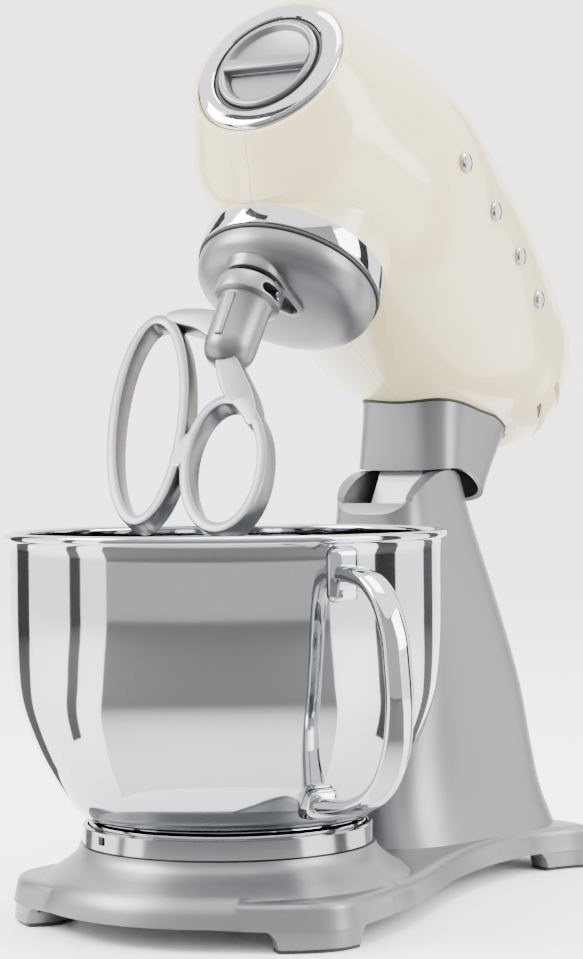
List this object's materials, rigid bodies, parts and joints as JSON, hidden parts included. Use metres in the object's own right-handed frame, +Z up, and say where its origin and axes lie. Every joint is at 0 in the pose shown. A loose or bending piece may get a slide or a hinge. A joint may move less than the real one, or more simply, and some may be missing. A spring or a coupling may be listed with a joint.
{
  "type": "stand mixer",
  "caption": "Tilt-head kitchen stand mixer with polished bowl on a locking seat, flat beater on a planetary drive, front accessory hub and a tilting head on a rear column.",
  "frame": {"origin": "Centre of the footprint of the bounding box at rest (head tilted up), on the table under the feet.", "axes": "+Z up. The front of the mixer, with the bowl and the hub, faces -Y. +X is the mixer's left side, where the four studs and the bowl handle are."},
  "size_m": [0.2754, 0.4608, 0.5063],
  "materials": {
    "cream_paint": "gloss enamel",
    "satin_silver": "satin silver coating",
    "mirror_chrome": "mirror polished",
    "cast_aluminium": "as cast",
    "polished_steel": "polished",
    "plain_steel": "machined",
    "black_rubber": "matt",
    "black_plastic": "matt",
    "bronze": "sintered bearing bronze",
    "copper_winding": "varnished windings on a steel core",
    "board_green": "circuit board"
  },
  "bodies": {
    "stand": {"stand_casting": "satin_silver", "base_plate": "black_plastic", "base_screw_1": "plain_steel", "base_screw_2": "plain_steel", "base_screw_3": "plain_steel", "base_screw_4": "plain_steel", "foot_front_left": "black_rubber", "foot_front_right": "black_rubber", "foot_rear_left": "black_rubber", "foot_rear_right": "black_rubber", "seat_plate": "polished_steel", "hinge_pin": "plain_steel", "latch_pin": "plain_steel", "cord_gland": "black_rubber"},
    "bowl_ring": {"bowl_lock_ring": "plain_steel"},
    "bowl": {"bowl_shell": "mirror_chrome", "bowl_foot": "mirror_chrome", "bowl_handle": "mirror_chrome"},
    "release": {"release_button": "mirror_chrome"},
    "latch": {"latch_pawl": "plain_steel"},
    "head": {"head_shell_left": "cream_paint", "head_shell_right": "cream_paint", "neck_collar": "satin_silver", "collar_gasket": "black_rubber", "head_frame": "cast_aluminium", "hinge_bush_left": "bronze", "hinge_bush_right": "bronze", "chrome_front_ring": "mirror_chrome", "front_seal": "black_rubber", "planetary_band": "mirror_chrome", "planetary_gasket": "black_rubber", "ring_gear": "plain_steel", "carrier_bearing": "polished_steel", "motor_field": "plain_steel", "motor_bracket": "cast_aluminium", "motor_bearing_bottom": "polished_steel", "motor_bearing_top": "polished_steel", "control_board": "board_green", "rear_grille": "black_plastic", "badge_stud_1": "mirror_chrome", "badge_stud_2": "mirror_chrome", "badge_stud_3": "mirror_chrome", "badge_stud_4": "mirror_chrome"},
    "rotor": {"motor_armature": "copper_winding", "motor_pinion": "plain_steel", "cooling_fan": "black_plastic"},
    "idler": {"idler_gear": "black_plastic"},
    "carrier": {"planet_carrier": "satin_silver", "carrier_gear": "plain_steel", "hub_drive_bevel": "plain_steel"},
    "hub_drive": {"hub_shaft": "plain_steel"},
    "spindle": {"tool_spindle": "polished_steel", "planet_pinion": "plain_steel", "cross_pin": "polished_steel", "tool_spring": "plain_steel"},
    "beater": {"flat_beater": "satin_silver"},
    "speed_slider": {"speed_lever": "mirror_chrome"},
    "cap_base": {"cap_plug": "black_plastic"},
    "cap_face": {"cap_knob": "satin_silver"}
  },
  "joints": [
    {"name": "head_tilt", "type": "hinge", "parent": "stand", "child": "head", "pos_m": [-0.01787, 0.09146, 0.184], "axis": [-1, 0, 0], "range_deg": [-33.4, 0]},
    {"name": "release_press", "type": "slide", "parent": "stand", "child": "release", "axis": [0, -1, 0], "range_m": [0, 0.004], "stiffness_N_per_m": 600},
    {"name": "latch_turn", "type": "hinge", "parent": "stand", "child": "latch", "pos_m": [-0.01787, 0.11746, 0.164], "axis": [-1, 0, 0], "range_deg": [0, 19]},
    {"name": "bowl_turn", "type": "hinge", "parent": "stand", "child": "bowl_ring", "pos_m": [-0.01787, -0.11054, 0.047], "axis": [0, 0, 1], "range_deg": [0, 30]},
    {"name": "bowl_lift", "type": "slide", "parent": "bowl_ring", "child": "bowl", "axis": [0, 0, 1], "range_m": [0, 0.08]},
    {"name": "planetary_spin", "type": "hinge", "parent": "head", "child": "carrier", "pos_m": [-0.01787, -0.04228, 0.34813], "axis": [0, 0.5505, 0.8348], "continuous": true},
    {"name": "spindle_spin", "type": "hinge", "parent": "carrier", "child": "spindle", "pos_m": [-0.01787, -0.0667, 0.36423], "axis": [0, 0.5505, 0.8348], "continuous": true},
    {"name": "idler_spin", "type": "hinge", "parent": "head", "child": "idler", "pos_m": [-0.01787, -0.00471, 0.32335], "axis": [0, 0.5505, 0.8348], "continuous": true},
    {"name": "motor_spin", "type": "hinge", "parent": "head", "child": "rotor", "pos_m": [-0.01787, 0.02034, 0.30684], "axis": [0, 0.5505, 0.8348], "continuous": true},
    {"name": "hub_spin", "type": "hinge", "parent": "head", "child": "hub_drive", "pos_m": [-0.01787, -0.02712, 0.44378], "axis": [0, -0.8348, 0.5505], "continuous": true},
    {"name": "beater_twist", "type": "hinge", "parent": "spindle", "child": "beater", "pos_m": [-0.01787, -0.08486, 0.33668], "axis": [0, 0.5505, 0.8348], "range_deg": [0, 25]},
    {"name": "speed_slide", "type": "slide", "parent": "head", "child": "speed_slider", "axis": [0, 0.8348, -0.5505], "range_m": [0, 0.035]},
    {"name": "cap_pull", "type": "slide", "parent": "head", "child": "cap_base", "axis": [0, -0.8348, 0.5505], "range_m": [0, 0.03]},
    {"name": "cap_turn", "type": "hinge", "parent": "cap_base", "child": "cap_face", "pos_m": [-0.01787, -0.05634, 0.46305], "axis": [0, -0.8348, 0.5505], "range_deg": [0, 90]}
  ],
  "couplings": [
    {"joint": "latch_turn", "follows": "release_press", "rad_per_m": 82},
    {"joint": "spindle_spin", "follows": "planetary_spin", "ratio": -3.1667},
    {"joint": "idler_spin", "follows": "planetary_spin", "ratio": -5},
    {"joint": "motor_spin", "follows": "planetary_spin", "ratio": 20},
    {"joint": "hub_spin", "follows": "planetary_spin", "ratio": 1}
  ]
}
